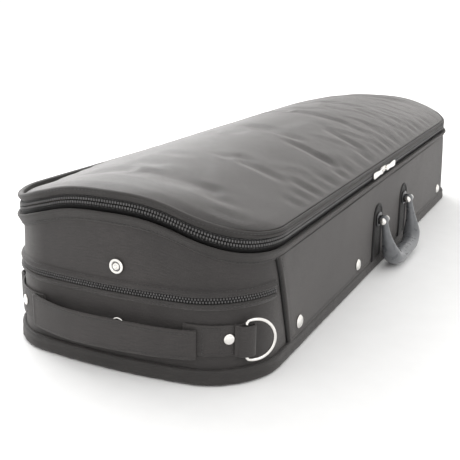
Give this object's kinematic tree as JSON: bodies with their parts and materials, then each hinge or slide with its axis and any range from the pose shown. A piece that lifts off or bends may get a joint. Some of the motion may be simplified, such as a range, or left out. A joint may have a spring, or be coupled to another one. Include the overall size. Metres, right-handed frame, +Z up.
{
  "type": "violin case",
  "caption": "Oblong hard-shell violin case in dark woven nylon, with a domed zip-closed lid, a swinging side grip, an end strap, an end pocket and D-rings",
  "frame": {"origin": "centre of the flat bottom face", "axes": "+X along the length away from the pocket end, handle side at -Y, +Z up"},
  "size_m": [0.8265, 0.2947, 0.1673],
  "materials": {
    "nylon": "dark grey-black woven nylon with a low satin sheen",
    "nylon_trim": "black woven binding, folded and stitched",
    "webbing": "black ribbed nylon webbing with stitched edges",
    "shell_board": "moulded ply shell, raw",
    "plush": "short-pile wine-red plush",
    "zip_coil": "black woven zip tape with a nylon coil",
    "nickel": "bright nickel plate",
    "grip_plastic": "moulded dark grey plastic with a soft gloss",
    "hinge_steel": "plain plated steel",
    "bow_plastic": "black moulded plastic"
  },
  "bodies": {
    "base": {"base_bottom_panel": "nylon", "bottom_welt": "nylon_trim", "base_shell": "shell_board", "base_cover": "nylon", "base_lip": "nylon_trim", "zipper_tape_lower": "zip_coil", "violin_bed": "plush", "neck_cradle": "plush", "neck_strap": "webbing", "front_panel": "nylon", "front_stud_1": "nickel", "front_stud_2": "nickel", "front_stud_3": "nickel", "front_stud_4": "nickel", "rear_foot_1": "nickel", "rear_foot_2": "nickel", "rear_foot_3": "nickel", "rear_foot_4": "nickel", "handle_tab_left": "webbing", "handle_tab_right": "webbing", "handle_bracket_left": "nickel", "handle_bracket_right": "nickel", "pocket_zipper": "zip_coil", "end_strap": "webbing", "strap_tab_front": "webbing", "strap_tab_back": "webbing", "strap_rivet_front": "nickel", "strap_rivet_back": "nickel", "snap_socket": "nickel", "snap_stud": "nickel", "hinge_leaf_base_1": "hinge_steel", "hinge_leaf_base_2": "hinge_steel", "hinge_pin_1": "hinge_steel", "hinge_pin_2": "hinge_steel"},
    "lid": {"lid_shell": "shell_board", "lid_cover": "nylon", "lid_lining": "plush", "lid_welt": "nylon_trim", "zipper_tape_upper": "zip_coil", "hinge_leaf_lid_1": "hinge_steel", "hinge_leaf_lid_2": "hinge_steel", "bow_loop_front": "plush", "bow_loop_back": "plush"},
    "handle": {"handle_grip": "grip_plastic", "handle_pin_left": "nickel", "handle_pin_right": "nickel"},
    "left_slider": {"zip_left_slider": "nickel"},
    "left_pull": {"zip_left_pull": "nickel"},
    "right_slider": {"zip_right_slider": "nickel"},
    "right_pull": {"zip_right_pull": "nickel"},
    "end_pocket_slider": {"pocket_slider": "nickel"},
    "end_pocket_pull": {"pocket_pull": "nickel"},
    "front_ring": {"d_ring_front": "nickel"},
    "back_ring": {"d_ring_back": "nickel"},
    "front_bow_clip": {"bow_clip_front": "bow_plastic"},
    "back_bow_clip": {"bow_clip_back": "bow_plastic"}
  },
  "joints": [
    {"name": "lid_hinge", "type": "hinge", "parent": "base", "child": "lid", "pos_m": [0, 0.1325, 0.1235], "axis": [-1, 0, 0], "range_deg": [0, 100]},
    {"name": "handle_swing", "type": "hinge", "parent": "base", "child": "handle", "pos_m": [0.017, -0.1395, 0.062], "axis": [-1, 0, 0], "range_deg": [0, 145]},
    {"name": "left_slider_slide", "type": "slide", "parent": "base", "child": "left_slider", "axis": [1, 0, 0], "range_m": [-0.286, 0]},
    {"name": "left_pull_flip", "type": "hinge", "parent": "left_slider", "child": "left_pull", "pos_m": [-0.0395, -0.1329, 0.12], "axis": [0, 0, 1], "range_deg": [0, 90]},
    {"name": "right_slider_slide", "type": "slide", "parent": "base", "child": "right_slider", "axis": [1, 0, 0], "range_m": [0, 0.29]},
    {"name": "right_pull_flip", "type": "hinge", "parent": "right_slider", "child": "right_pull", "pos_m": [-0.0245, -0.1329, 0.12], "axis": [0, 0, -1], "range_deg": [0, 90]},
    {"name": "pocket_slider_slide", "type": "slide", "parent": "base", "child": "end_pocket_slider", "axis": [1, 0, 0], "range_m": [-0.065, 0]},
    {"name": "pocket_pull_flip", "type": "hinge", "parent": "end_pocket_slider", "child": "end_pocket_pull", "pos_m": [-0.261, 0.1345, 0.0757], "axis": [0, 0, 1], "range_deg": [0, 90]},
    {"name": "front_ring_swing", "type": "hinge", "parent": "base", "child": "front_ring", "pos_m": [-0.37654, -0.11705, 0.04], "axis": [0, 0, -1], "range_deg": [0, 110]},
    {"name": "back_ring_swing", "type": "hinge", "parent": "base", "child": "back_ring", "pos_m": [-0.3502, 0.13075, 0.04], "axis": [0, 0, 1], "range_deg": [0, 110]},
    {"name": "front_bow_clip_turn", "type": "hinge", "parent": "lid", "child": "front_bow_clip", "pos_m": [-0.22, -0.045, 0.14919], "axis": [0, 0.2299, -0.9732], "range_deg": [-90, 90]},
    {"name": "back_bow_clip_turn", "type": "hinge", "parent": "lid", "child": "back_bow_clip", "pos_m": [-0.22, 0.045, 0.14763], "axis": [0, -0.2299, -0.9732], "range_deg": [-90, 90]}
  ]
}
